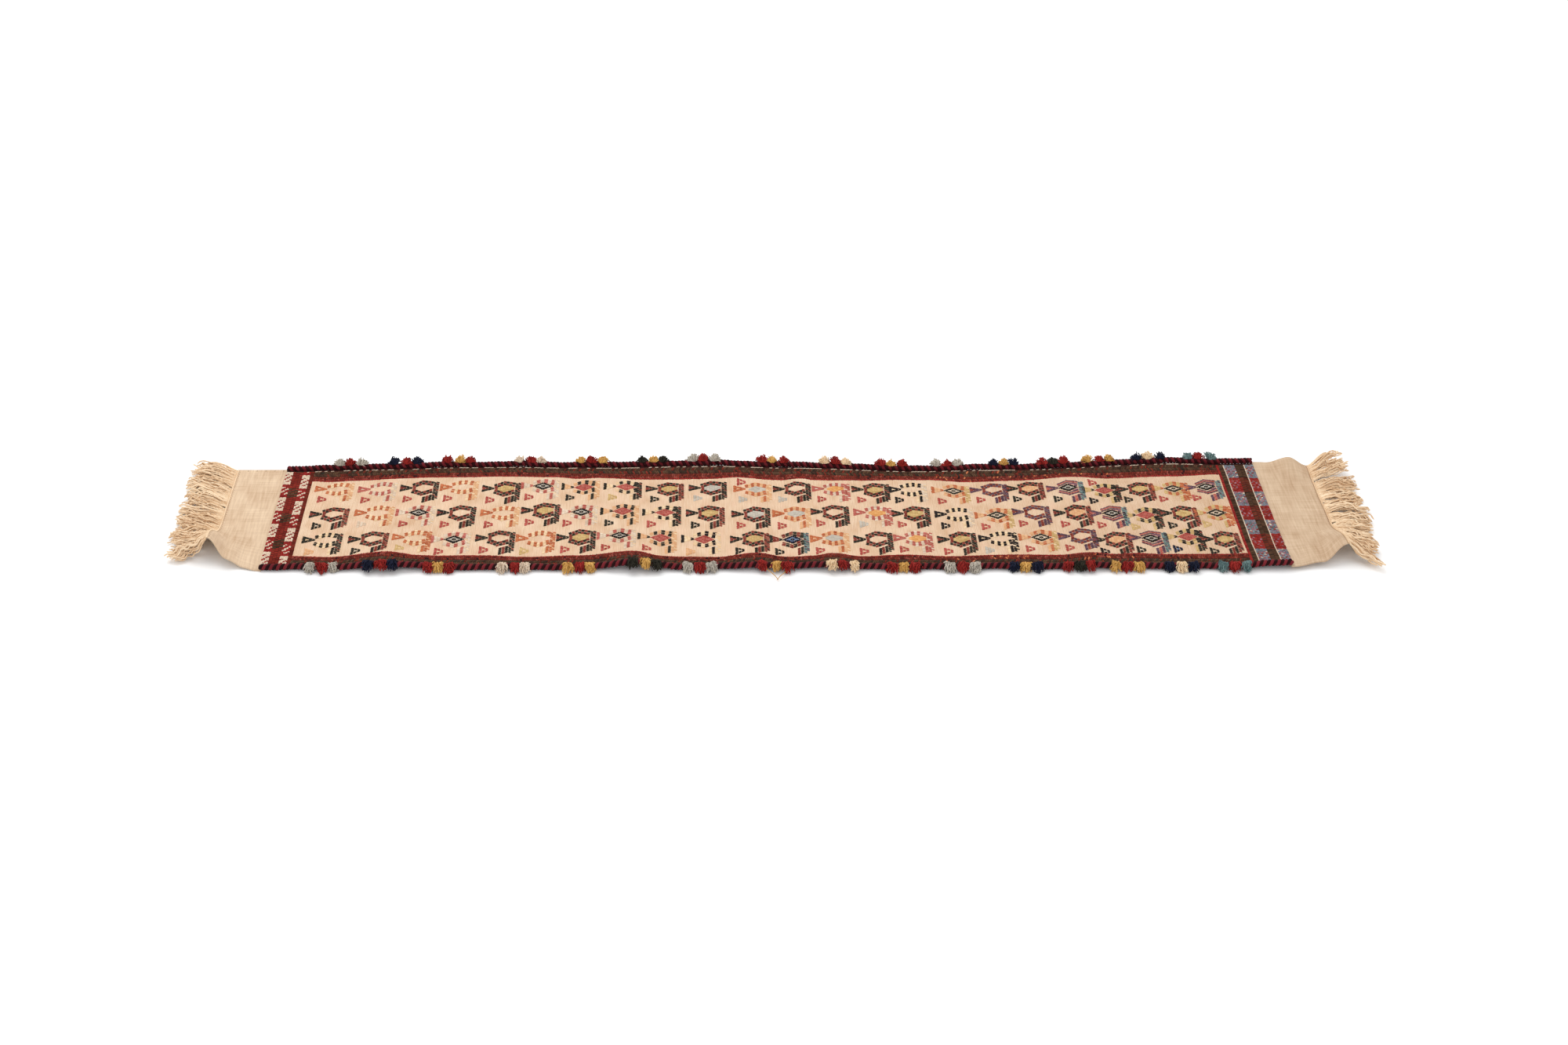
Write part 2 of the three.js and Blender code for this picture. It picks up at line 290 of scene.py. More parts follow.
def tubes(lines, radius, sides, twist=0.0, ply=0.0, taper=0.35):
    """Points and faces of closed yarn tubes along lines, an array of lines by steps by 3, and the number of
    points of each. twist is the turn of the ply from step to step, and ply how deep its strands are cut."""
    count, steps = lines.shape[:2]
    along = np.gradient(lines, axis=1)
    along /= np.linalg.norm(along, axis=-1, keepdims=True)
    side = np.cross(along, (0.0, 0.0, 1.0))
    side /= np.maximum(np.linalg.norm(side, axis=-1, keepdims=True), 1e-9)
    up = np.cross(side, along)
    turn = np.arange(sides) * 2 * np.pi / sides
    phase = np.arange(steps)[:, None] * twist
    profile = 1 + ply * np.cos(2 * (turn[None, :] - phase))
    ends = np.ones(steps)
    ends[[0, -1]] = taper
    reach = np.broadcast_to(radius, (count, 1, 1)) * (profile * ends[:, None])[None]
    points = (
        lines[:, :, None]
        + (reach * np.cos(turn))[..., None] * side[:, :, None]
        + (reach * np.sin(turn))[..., None] * up[:, :, None]
    )
    return points.reshape(-1, 3), tube_faces(count, steps, sides), steps * sides


def add_tubes(name, lines, radius, material, **options):
    """One object of yarn tubes, each with its own shade, from lines in millimetres in the frame."""
    points, faces, size = tubes(lines, radius, **options)
    shade = np.repeat(random.random(len(lines)), size)
    return make_object(name, points * MM, faces, material, points, shade)


# Materials --------------------

# colour of the painted shade that darkens the ground and flaps towards the right end of the cloth
RIGHT_END_SHADE = "#8f6f52"
CREAM = ("#cfa885", "#ecd1b5")  # dark and light tone of the ground in the field
RIB_HOLLOW_SHADE = "#b98f66"  # painted shade in the hollows between its ribs
CREAM_BLUSH = "#e7bfa2"  # in its rosy patches
DARK_GROUND = "#4a1f18"  # under the borders and bands
PLAIN = ("#c4a180", "#edd3b4")  # tones of the flaps
WARP = ("#cfa981", "#ffeacb")  # and of the fringe
RIB_PITCH = 0.0026  # metres from rib to rib of the ground
PICK_PITCH = 0.0018  # along a rib
PLAIN_PITCH = 0.0017  # from thread to thread of the flaps, both ways


def linear(code):
    """Linear colour of an sRGB code such as #a0b1c2."""
    parts = [int(code[i:i + 2], 16) / 255 for i in (1, 3, 5)]
    return [p / 12.92 if p <= 0.04045 else ((p + 0.055) / 1.055) ** 2.4 for p in parts] + [1.0]


class Nodes:
    """Short calls for building one material's node tree."""

    def __init__(self, name):
        self.material = bpy.data.materials.new(name)
        self.material.use_nodes = True
        self.tree = self.material.node_tree
        self.tree.nodes.clear()
        surface = {
            "Roughness": 0.9, "Specular IOR Level": 0.08, "Sheen Weight": 0.03, "Sheen Roughness": 0.6,
        }
        self.shader = self.node("BsdfPrincipled", surface)
        self.node("OutputMaterial", {"Surface": self.shader.outputs[0]})

    def node(self, kind, inputs=None, **settings):
        """New node with its settings, and with values or links on its inputs."""
        node = self.tree.nodes.new(f"ShaderNode{kind}")
        for name, value in settings.items():
            setattr(node, name, value)
        for name, value in (inputs or {}).items():
            self.link(value, node.inputs[name])
        return node

    def link(self, source, target):
        if isinstance(source, bpy.types.NodeSocket):
            self.tree.links.new(source, target)
        else:
            target.default_value = source

    def attribute(self, name, output):
        return self.node("Attribute", attribute_name=name).outputs[output]

    def scaled(self, vector, scale):
        return self.node("VectorMath", {0: vector, 1: scale}, operation="MULTIPLY").outputs[0]

    def cloth(self):
        """The place in the flat cloth, in metres, and its two parts along and across."""
        place = self.attribute("cloth", "Vector")
        split = self.node("SeparateXYZ", {0: place})
        return place, split.outputs["X"], split.outputs["Y"]

    def noise(self, vector, scale, detail=3.0):
        return self.node("TexNoise", {"Vector": vector, "Scale": scale, "Detail": detail}).outputs["Fac"]

    def math(self, operation, a, b=0.0, clamp=False):
        return self.node("Math", {0: a, 1: b}, operation=operation, use_clamp=clamp).outputs[0]

    def total(self, *terms):
        """Sum of values, each given with its weight."""
        value, *others = [self.math("MULTIPLY", value, weight) for value, weight in terms]
        for other in others:
            value = self.math("ADD", value, other)
        return value

    def wave(self, value, pitch):
        return self.math("SINE", self.math("MULTIPLY", value, 2 * math.pi / pitch))

    def span(self, value, low, high):
        """0 at low, 1 at high."""
        return self.node("MapRange", {"Value": value, "From Min": low, "From Max": high}).outputs["Result"]

    def mix(self, share, a, b):
        return self.node("Mix", {"Factor": share, "A": a, "B": b}, data_type="RGBA").outputs["Result"]

    def bump(self, height, distance):
        node = self.node("Bump", {"Distance": distance, "Height": height})
        self.link(node.outputs["Normal"], self.shader.inputs["Normal"])

    def colour(self, value):
        self.link(value, self.shader.inputs["Base Color"])
        return self.material


def shaded_to_right_end(n, cloth_u, colour):
    """The colour, darkened a little towards the right end of the cloth: painted shade."""
    return n.mix(n.math("MULTIPLY", n.span(cloth_u, 0.2, 0.95), 0.2), colour, linear(RIGHT_END_SHADE))


def wool(name, tones, fibre_scale, patch_scale, shade_share, patch_share):
    """Matt yarn: a tone for each float or strand, soft patches, fibre streaks and a fibre bump."""
    if name in bpy.data.materials:
        return bpy.data.materials[name]
    n = Nodes(name)
    cloth = n.attribute("cloth", "Vector")
    fibres = n.noise(cloth, fibre_scale)
    patches = n.math("SUBTRACT", n.noise(cloth, patch_scale), 0.5)
    tone = n.total((n.attribute("shade", "Fac"), shade_share), (fibres, 0.3))
    tone = n.math("ADD", tone, n.math("MULTIPLY", patches, patch_share), clamp=True)
    n.bump(fibres, 0.0003)
    return n.colour(n.mix(tone, *map(linear, tones)))


def yarn_material(yarn):
    """Dyed wool in one yarn colour."""
    return wool(f"wool_{yarn}", YARNS[yarn], fibre_scale=1400, patch_scale=45, shade_share=0.7,
                patch_share=0.5)


def warp_material():
    """Undyed twisted warp yarn."""
    return wool("warp_yarn", WARP, fibre_scale=900, patch_scale=40, shade_share=0.5, patch_share=0.7)


def ground_material():
    """Ground weave: cream in the field, dark under the borders and bands, with ribs across the cloth."""
    n = Nodes("wool_ground")
    cloth, u, v = n.cloth()
    ribs = n.wave(u, RIB_PITCH)
    picks = n.wave(v, PICK_PITCH)
    streaks = n.noise(n.scaled(cloth, (420, 30, 30)), 1.0)
    patches = n.noise(cloth, 28, 2.0)
    tone = n.total((streaks, 0.6), (patches, 0.6))
    cream = n.mix(n.span(tone, 0.35, 0.85), *map(linear, CREAM))
    # painted shade in the hollows between the ribs
    cream = n.mix(n.span(n.math("MULTIPLY", ribs, -1), 0.2, 3.5), cream, linear(RIB_HOLLOW_SHADE))
    rosy = n.noise(n.scaled(cloth, (60, 25, 25)), 1.0, 1.0)
    cream = n.mix(n.span(rosy, 0.5, 1.0), cream, linear(CREAM_BLUSH))
    # painted shade, darker towards the right end
    cream = shaded_to_right_end(n, u, cream)
    outside = n.math("GREATER_THAN", n.math("ABSOLUTE", v), FIELD_HALF * MM)
    beyond = n.math("GREATER_THAN", n.math("ABSOLUTE", u), FIELD_END * MM)
    n.bump(n.total((ribs, 1), (picks, 0.4), (streaks, 2)), 0.00025)
    return n.colour(n.mix(n.math("MAXIMUM", outside, beyond), cream, linear(DARK_GROUND)))


def flap_material():
    """Undyed plain weave, with threads both ways, slubs and a faint yellowing in patches."""
    n = Nodes("plain_weave")
    cloth, u, v = n.cloth()
    weave = n.math("MULTIPLY", n.wave(u, PLAIN_PITCH), n.wave(v, PLAIN_PITCH))
    slubs = n.noise(n.scaled(cloth, (300, 22, 30)), 1.0)
    warp_slubs = n.noise(n.scaled(cloth, (18, 420, 30)), 1.0)
    patches = n.noise(cloth, 22, 2.0)
    tone = n.total((slubs, 0.5), (warp_slubs, 0.3), (patches, 0.45), (weave, 0.05))
    n.bump(n.total((weave, 1), (n.math("ADD", slubs, warp_slubs), 1.2)), 0.00025)
    plain = n.mix(n.span(tone, 0.4, 0.8), *map(linear, PLAIN))
    # painted shade, darker towards the right end
    return n.colour(shaded_to_right_end(n, u, plain))


# Camera, floor and light --------------------

CAMERA_PLACE = (-0.1112, -2.8453, 1.906)
CAMERA_ANGLES = (2.61, 33.97, 1.33)  # turn to the right, tilt down and roll, in degrees
FLOOR_HALF = 200.0


def add_camera():
    """Camera at the height, turn and tilt at which the whole runner lies level across the picture."""
    yaw, pitch, roll = (math.radians(a) for a in CAMERA_ANGLES)
    ahead = np.array([math.sin(yaw) * math.cos(pitch), math.cos(yaw) * math.cos(pitch), -math.sin(pitch)])
    level = np.array([math.cos(yaw), -math.sin(yaw), 0.0])
    above = np.cross(level, ahead)
    right = math.cos(roll) * level + math.sin(roll) * above
    up = -math.sin(roll) * level + math.cos(roll) * above
    data = bpy.data.cameras.new("camera")
    data.lens = 50
    data.sensor_width = 36
    camera = bpy.data.objects.new("camera", data)
    turned = Matrix([[right[k], up[k], -ahead[k]] for k in range(3)]).to_4x4()
    camera.matrix_world = Matrix.Translation(CAMERA_PLACE) @ turned
    bpy.context.scene.collection.objects.link(camera)
    bpy.context.scene.camera = camera


def add_floor():
    """Plain white surface, far wider than the picture."""
    mesh = bpy.data.meshes.new("floor")
    corners = [(x * FLOOR_HALF, y * FLOOR_HALF, 0) for x, y in ((-1, -1), (1, -1), (1, 1), (-1, 1))]
    mesh.from_pydata(corners, [], [(0, 1, 2, 3)])
    material = bpy.data.materials.new("floor_white")
    material.use_nodes = True
    shader = material.node_tree.nodes["Principled BSDF"]
    shader.inputs["Base Color"].default_value = (0.96, 0.96, 0.96, 1)
    shader.inputs["Roughness"].default_value = 0.95
    shader.inputs["Specular IOR Level"].default_value = 0.0
    mesh.materials.append(material)
    floor = bpy.data.objects.new("floor", mesh)
    bpy.context.scene.collection.objects.link(floor)


def add_light(name, place, size, power):
    """Soft square lamp that faces the middle of the runner."""
    data = bpy.data.lights.new(name, "AREA")
    data.size = size
    data.energy = power
    lamp = bpy.data.objects.new(name, data)
    away = np.array(place) / np.linalg.norm(place)
    across = np.cross((0.0, 1.0, 0.0), away)
    across /= np.linalg.norm(across)
    turned = Matrix([[across[k], np.cross(away, across)[k], away[k]] for k in range(3)]).to_4x4()
    lamp.matrix_world = Matrix.Translation(place) @ turned
    bpy.context.scene.collection.objects.link(lamp)


def add_studio():
    scene = bpy.context.scene
    scene.view_settings.view_transform = "Standard"
    scene.world = bpy.data.worlds.new("studio")
    scene.world.use_nodes = True
    background = scene.world.node_tree.nodes["Background"]
    background.inputs["Color"].default_value = (1, 1, 1, 1)
    background.inputs["Strength"].default_value = 0.97
    add_light("key_light", place=(-0.9, 1.4, 3.2), size=2.4, power=52)
    add_floor()


# The ground cloth and the flaps --------------------

EDGE_STITCH_GAP = 14  # between the dark stitches along the left flap's back edge
END_STITCH_GAP = 6  # and between those beside its fringe


def add_ground():
    us = np.linspace(-LEFT_BAND_END + 0.2, RIGHT_BAND_END - 0.2, GROUND_STEPS[0])
    vs = np.linspace(-GROUND_EDGE, GROUND_EDGE, GROUND_STEPS[1])
    cloth, faces = slab(us, vs, GROUND_TOP)
    ground = make_object("ground_cloth", lay(*cloth.T), faces, ground_material(), cloth)
    finish_piece(ground, "root", "cream_brocade", ["brocaded_field"])


def add_flap(end, side, band_end, flap_end, pieces):
    """Plain-weave flap, rooted inside the ground cloth so that no gap opens at its fold."""
    root = band_end - FLAP_ROOT
    us = side * np.linspace(root, flap_end, FLAP_STEPS[0])
    us.sort()
    vs = np.linspace(-CLOTH_EDGE + 1, CLOTH_EDGE - 1, FLAP_STEPS[1])
    cloth, faces = slab(us, vs, FLAP_TOP, 0.1)
    flap = make_object(f"{end}_flap_cloth", lay(*cloth.T), faces, flap_material(), cloth)
    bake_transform(flap)
    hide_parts(f"{end}_end_flap")


def add_edge_stitches():
    """Small dark stitches along the back edge of the left flap and beside its fringe."""
    along = np.arange(LEFT_BAND_END + 6, LEFT_END - 4, EDGE_STITCH_GAP)
    across = np.arange(-CLOTH_EDGE + 8, CLOTH_EDGE - 6, END_STITCH_GAP)
    rows = [(-u, CLOTH_EDGE - 5, 0.4, 2.4, 1.1) for u in along]
    rows += [(2 - LEFT_END, v, 1.5, 2.2, 0.5) for v in across]
    cloth, faces, size = float_mesh(*np.array(rows).T, height=0.4, base=FLAP_TOP)
    stitches = make_object("left_edge_stitches", lay(*cloth.T), faces, yarn_material("umber"), cloth)
    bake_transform(stitches)
    return stitches


# The birds --------------------

COLUMNS = (
    -686, -618, -551, -488, -422, -360, -295, -228, -161, -92.5, -21, 42, 104.5, 167, 227, 295, 358, 417, 482,
    539, 595, 649, 705,
)
ROWS = (80, 6, -65)
# How far each bird of each row has wandered from its column and row, in millimetres
DRIFT_ALONG = (
    (1, 1, 0, 0, 1, 0, 0, 0, 0, 0, 0, 0, 0, 1, 1, 1, 0, 0, 0, 0, 0, 3, 1),
    (3, 4, 1, 2, 4, 5, -1, -3, -4, -4, -4, -3, -5, 0, 0, 0, 0, 1, 2, 2, -1, 4, 3),
    (2, 4, 3, 0, 2, 2, -1, -6, -10, -11, -7, -9, -9, -4, -2, -2, -1, 3, 0, -4, -3, 0, 0),
)
DRIFT_ACROSS = (
    (4, 0, 0, 0, -5, 3, 3, 3, -1, 1, -4, -1, 0, 0, 0, -2, 1, 3, -2, -9, -8, -7, -5),
    (0, 3, 3, 1, 0, 7, 3, 4, 0, -2, -4, -3, 3, 3, 3, 0, -4, 4, 1, -4, -11, -7, -5),
    (0, -1, 3, -1, 2, 3, 4, 6, 3, 1, -2, 0, 0, 1, 3, 1, 1, 4, 6, -6, -3, 1, -5),
)
OUTLINE_GAP = 0.9  # of bare ground between the two outlines of a body
ALONG = 4.9  # width of one column of floats in a bird
ACROSS = 2.65  # from one float to the next in a column
PLUMP = 2.8  # width of a bird's floats
RING_ALONG = 6.1  # width of one column round a diamond
FINE_ALONG = 3.1  # and of one in a diamond
FINE_ACROSS = 2.4
FINE_FLOAT = (3.6, 2.5)  # length and width of a float in a diamond
TAIL_ALONG = 4.2
TAIL_ACROSS = 3.7
TAIL_FLOAT = 5.4  # length of a float in a tail
FOOT_ACROSS = 3
INWARD_SHRINK = 0.035  # by which each row of a body is narrower than the row outside it
# How much longer floats are than their column is wide
OPEN_OVERLAP = 1.1
BODY_OVERLAP = 0.4
HEAD_OVERLAP = 0.6
FOOT_OVERLAP = 0.3

# Shapes of one bird about the middle of its body. A shape of columns is (left end, number of columns, apex,
# top edge, bottom edge), and an edge is (height at the apex, slope left of it, slope right of it).
APEX = -3
DIAMOND_SLOPE = 0.66
BODY = (-20.1, 7, APEX, (21, 0.53, 0.24), (-22, 0.5, 0.46))
RING = (-20.1, 6, *BODY[2:])
DIAMOND = (-18.5, 10, APEX, (10.5, DIAMOND_SLOPE, DIAMOND_SLOPE), (-11, DIAMOND_SLOPE, DIAMOND_SLOPE))
DIAMOND_ROOM = 12.3  # half the height of the bare ground a diamond stands in
DIAMOND_MIDDLE = -0.3
HEAD = (-38.6, 4, -38.6, (10.8, 0, 0.43), (-9.8, 0, 0.43))
TRIANGLE = (-31, 3, -31, (-21, 0, 0.53), (-42.5, 0, 0.53))
TRIANGLE_MIDDLE = (-23, -32)
FOOT = (-0.9, 3, 14, (-18, 0.55, 0), (-36, -0.55, 0))
TAIL = [(14, -37), (22.2, -29), (22.2, 18), (14, 16)]
TAIL_APEX = 14
TAIL_SLOPE = -0.6

# One style of bird for each diagonal line of birds, from the left end:
# kind, first yarn, second yarn, middle, tail
STYLES = """
open green cream cream green
full green madder cream madder
open orange cream cream peach
diamond rose pale black pale
full green madder cream green
open orange cream cream peach
full green madder straw green
diamond rose pale black pale
diamond green peach coral peach
diamond green cream coral green
full green madder straw madder
full green madder silver green
open orange peach silver peach
full green madder cream green
open rose pale amber rose
full green madder straw green
open black cream cream pale
diamond orange peach green straw
full purple madder cream purple
full green madder peach madder
rings purple rose black teal
diamond green straw coral green
full green madder straw madder
diamond orange straw green orange
rings purple rose black teal
""".strip().splitlines()
# Birds that leave their line's style, by row and column
ODD_STYLES = {
    (0, 1): "open rose pale cream pale",
    (2, 2): "open orange cream cream orange",
    (2, 5): "open orange cream cream orange",
    (2, 11): "diamond green madder navy teal",
    (2, 16): "open black cream cream black",
    (2, 9): "diamond black cream coral cream",
}
# The second colour of a diamond and of a tail, by the first one
HEARTS = {"navy": "blue", "coral": "rose", "green": "pale", "black": "grey"}
RUNGS = {
    "green": "madder", "madder": "green", "peach": "cream", "pale": "cream", "straw": "cream",
    "orange": "peach", "purple": "madder", "teal": "purple", "rose": "pale", "black": "cream",
    "cream": "pale",
}
RUNG_EVERY = 5  # floats along a tail
# Colours of the triangles under the heads, row by row
TRIANGLES = (
    "coral coral coral coral coral coral green straw green silver silver silver coral coral black coral "
    "coral green green black green coral coral",
    "green pale coral coral coral coral coral green coral green coral coral coral silver coral black "
    "coral coral coral coral straw green straw",
    "peach green straw coral coral straw coral coral coral peach green green coral coral coral coral "
    "silver coral coral black green navy green",
)
EYES = {"coral": "cream", "green": "pale", "straw": "cream", "black": "pale", "navy": "blue"}
STRAY_TRIANGLES = ((-46, 96), (521, 93))  # middles of two more coral triangles above birds of the back row


def within(outline, x, y):
    """True for points inside a convex outline whose corners run anticlockwise."""
    result = np.ones(x.shape, bool)
    for (ax, ay), (bx, by) in zip(outline, outline[1:] + outline[:1]):
        result &= (bx - ax) * (y - ay) - (by - ay) * (x - ax) >= 0
    return result


def hatch(outline, slope, apex, along, across):
    """Floats over an outline, in rows that rise by slope on both sides of apex: x, y, angle, column, row."""
    xs, ys = np.transpose(outline)
    columns = np.arange(math.floor((min(xs) - apex) / along), math.ceil((max(xs) - apex) / along))
    farthest = math.ceil((max(np.abs(ys)) + abs(slope) * max(np.abs(xs - apex))) / across)
    i, k = np.meshgrid(columns, np.arange(-farthest, farthest + 1))
    x = apex + (i + 0.5) * along
    y = k * across + slope * np.abs(x - apex)
    keep = within(outline, x, y)
    angle = np.arctan(slope * np.sign(x - apex))
    return [a[keep] for a in (x, y, angle, i, k)]


def stack(shape, along=ALONG, across=ACROSS):
    """Floats that fill a shape column by column: x, y, angle, column, and row counted inwards from the
    nearer edge."""
    start, count, apex, (top, top_left, top_right), (bottom, bottom_left, bottom_right) = shape
    found = []
    for i in range(count):
        x = start + (i + 0.5) * along
        side = -1 if x < apex else 1
        fall, rise = (top_left, bottom_left) if side < 0 else (top_right, bottom_right)
        high = top - fall * abs(x - apex)
        low = bottom + rise * abs(x - apex)
        rows = max(1, round((high - low) / across))
        for k in range(rows):
            y = high - (k + 0.5) * (high - low) / rows
            slope = -side * fall if 2 * k < rows else side * rise
            found.append((x, y, math.atan(slope), i, min(k, rows - 1 - k)))
    return list(np.array(found).T)


class Sewing:
    """Collects floats by yarn colour."""

    def __init__(self):
        self.rows = {}

    def add(self, yarn, u, v, angle, length, width=FLOAT_WIDTH):
        rows = np.stack(np.broadcast_arrays(u, v, angle, length, width), -1).reshape(-1, 5)
        self.rows.setdefault(yarn, []).append(rows)

    def fill(self, place, floats, yarn_of, length, width):
        """Sews floats at a place. yarn_of gives each one's yarn, or None for bare ground, from its column
        and row."""
        x, y, angle, i, k = floats
        yarns = np.array([yarn_of(*ik) or "" for ik in zip(i, k)])
        for yarn in sorted(set(yarns) - {""}):
            picked = yarns == yarn
            self.add(yarn, place[0] + x[picked], place[1] + y[picked], angle[picked], length, width)

    def build(self, name, slot, nodes=()):
        for yarn, rows in sorted(self.rows.items()):
            finish_piece(add_floats(f"{name}_{yarn}", np.concatenate(rows), yarn), "root", slot, nodes)


def sew_body(sewing, place, kind, first, second, middle):
    """Two outlines of short blocks round the middle, which is filled, bare or left for a diamond."""
    shape, along = (RING, RING_ALONG) if kind == "diamond" else (BODY, ALONG)
    x, y, angle, i, k = stack(shape, along)
    x = APEX + (x - APEX) * (1 - INWARD_SHRINK * np.minimum(k, 4))
    y = y - np.sign(y + 0.5) * OUTLINE_GAP * (k > 1)
    keep = (i > 0) | (k < 3) | (kind == "full")
    if kind in ("diamond", "rings"):
        keep &= np.abs(x - APEX) * DIAMOND_SLOPE + np.abs(y - DIAMOND_MIDDLE) > DIAMOND_ROOM
    floats = [a[keep] for a in (x, y, angle, i, k)]
    overlap = OPEN_OVERLAP if kind == "open" else BODY_OVERLAP

    def yarn_of(i, k):
        if kind == "rings":
            return (first, second, first, "mauve")[int(k) % 4]
        if k > 3 and 0 < i and kind != "diamond":
            return middle
        if kind == "diamond":
            return first if i % 2 else second
        shift = 1 if kind == "full" and k > 1 else 0
        return second if (i + shift) % 2 else first

    sewing.fill(place, floats, yarn_of, along + overlap, PLUMP)


def sew_diamond(sewing, place, outer, inner):
    """A diamond with a thin ring and a small eye of a second colour in it."""
    def yarn_of(i, k):
        eye = k == 4 and i in (4, 5)
        return inner if k == 2 or eye else outer

    sewing.fill(place, stack(DIAMOND, FINE_ALONG, FINE_ACROSS), yarn_of, *FINE_FLOAT)


def sew_head(sewing, place, kind, first, second):
    """A triangle that points at the body."""
    def yarn_of(i, k):
        if kind == "diamond":
            return second if i in (1, 2) else first
        if kind == "open":
            return second if i == 1 and k > 1 else first
        return second if k > 1 and i < 2 else first

    sewing.fill(place, stack(HEAD), yarn_of, ALONG + HEAD_OVERLAP, PLUMP)


def sew_triangle(sewing, place, yarn):
    """The small triangle under the head, with a light eye."""
    def yarn_of(i, k):
        return EYES.get(yarn, yarn) if i == 1 and k == 2 else yarn

    sewing.fill(place, stack(TRIANGLE), yarn_of, ALONG, PLUMP)


def sew_tail(sewing, place, kind, first, second, tail):
    """The tall tail of slanting dashes and the foot beside its lower end."""
    def tail_yarn(i, k):
        return RUNGS[tail] if (i + k) % RUNG_EVERY == 0 else tail

    def foot_yarn(i, k):
        return (first if kind in ("full", "rings") else None, second, first)[int(i)]

    floats = hatch(TAIL, TAIL_SLOPE, TAIL_APEX, TAIL_ALONG, TAIL_ACROSS)
    sewing.fill(place, floats, tail_yarn, TAIL_FLOAT, PLUMP)
    sewing.fill(place, stack(FOOT, across=FOOT_ACROSS), foot_yarn, ALONG + FOOT_OVERLAP, PLUMP)


def sew_bird(sewing, place, style, triangle):
    """One bird. A cream middle is left as bare ground."""
    kind, first, second, middle, tail = style.split()
    sew_body(sewing, place, kind, first, second, None if middle == "cream" else middle)
    if kind in ("diamond", "rings"):
        sew_diamond(sewing, place, middle, HEARTS[middle])
    sew_tail(sewing, place, kind, first, second, tail)
    sew_head(sewing, place, kind, first, second)
    sew_triangle(sewing, place, triangle)


def add_birds():
    sewing = Sewing()
    for row, v in enumerate(ROWS):
        triangles = TRIANGLES[row].split()
        for column, u in enumerate(COLUMNS):
            place = (u + DRIFT_ALONG[row][column], v + DRIFT_ACROSS[row][column])
            style = ODD_STYLES.get((row, column), STYLES[column - row + 2])
            sew_bird(sewing, place, style, triangles[column])
    for u, v in STRAY_TRIANGLES:
        sew_triangle(sewing, (u - TRIANGLE_MIDDLE[0], v - TRIANGLE_MIDDLE[1]), "coral")
    sewing.build("birds", "cream_brocade")


# Borders and bands --------------------

PICK = 2.0  # from one float to the next across a band
BAND_OVERLAP = 0.7  # how much longer a band's floats are than their column is wide
BLOCK = 38.9  # length of one block of colour across a band
FIGURE_SPAN = (0.2, 0.8)  # part of a block that holds slanting strokes
STROKE_SPACING = 12
STROKE_WIDTH = 4
LEFT_STROKE_RISE = -3  # from column to column
RIGHT_STROKE_RISE = 6
DARK_PITCH = 2 * BLOCK - 4  # from one dark block of the left middle stripe to the next
DARK_BLOCK = 26  # length of each
DARK_START = 22  # how much of the first one is hidden past the back edge
BORDER_PICK = 3.0  # from one float to the next along a side border
BORDER_TOOTH = 0.3  # typical unevenness of its rows
# Rows of a side border: (distance from the middle of the cloth, yarn, slant, length of its floats)
BORDER_ROWS = (
    (110.2, "red", 0.0, 3), (113.6, "brick", 0.45, 5.2), (118.2, "brick", -0.45, 5.2),
    (124.2, "olive", 0.45, 7), (130.6, "olive", -0.45, 7),
)
# Odd yarns among each border yarn, in one float of six, one of thirty and a few in the gold stretch
BORDER_ODDS = {
    "red": ("red", "brick", "orange"),
    "brick": ("madder", "maroon", "orange"),
    "olive": ("brick", "green", "orange"),
}
FIRST_ODD, SECOND_ODD = 0.8, 0.97  # a number drawn from 0 to 1 has to be higher than these
GOLD_STRETCH = (240, 560)
GOLD_SHARE = {"red": 0.02, "brick": 0.05, "olive": 0.02}
IVORY_LINE = 134.9  # from the middle of the cloth
IVORY_PICK = 5.0
IVORY_SHARE = 0.6  # of its stitches that show
IVORY_FLOAT = (5.4, 1.3)  # length and width


def add_side_border(end, side):
    """Two herringbone rows of brick floats, two of olive ones, and an ivory line beside the cord."""
    sewing = Sewing()
    us = np.arange(-FIELD_END + 1.5, FIELD_END - 1, BORDER_PICK)
    golden = (us > GOLD_STRETCH[0]) & (us < GOLD_STRETCH[1])
    for v, yarn, slant, length in BORDER_ROWS:
        tooth = random.normal(0, BORDER_TOOTH, len(us))
        drawn = random.random(len(us))
        gold = golden & (drawn < GOLD_SHARE[yarn])
        chosen = np.select([gold, drawn > SECOND_ODD, drawn > FIRST_ODD], [3, 2, 1], 0)
        for number, name in enumerate((yarn,) + BORDER_ODDS[yarn]):
            picked = chosen == number
            if picked.any():
                angle = math.pi / 2 + slant * side
                sewing.add(name, us[picked], side * (v + tooth[picked]), angle, length, BORDER_PICK * 0.95)
    line = np.arange(-FIELD_END + 3, FIELD_END - 2, IVORY_PICK)
    line = line[random.random(len(line)) < IVORY_SHARE]
    sewing.add("pale", line, side * IVORY_LINE, 0.1, *IVORY_FLOAT)
    sewing.build(f"{end}_border", "side_border", [f"{end}_side_border"])


def sew_band(sewing, side, start, width, yarns_at, slant, column_width):
    """Floats over a stripe of a cross band, in columns. yarns_at gives a yarn from v, its number and the
    column."""
    columns = max(1, round(width / column_width))
    step = width / columns
    vs = np.arange(-BORDER_EDGE + 1.5, BORDER_EDGE - 1, PICK)
    for column in range(columns):
        u = side * (start + (column + 0.5) * step)
        yarns = np.array([yarns_at(v, k, column) for k, v in enumerate(vs)])
        for yarn in sorted(set(yarns)):
            picked = yarns == yarn
            angle = side * slant * (1 if column % 2 == 0 else -1)
            sewing.add(yarn, u, vs[picked], angle, step + BAND_OVERLAP)


def block_at(v, offset=0.0):
    """Number of the block across the band, from the back edge, and how far down it v is, from 0 to 1."""
    number, place = divmod((BORDER_EDGE - offset - v) / BLOCK, 1)
    return int(number), place


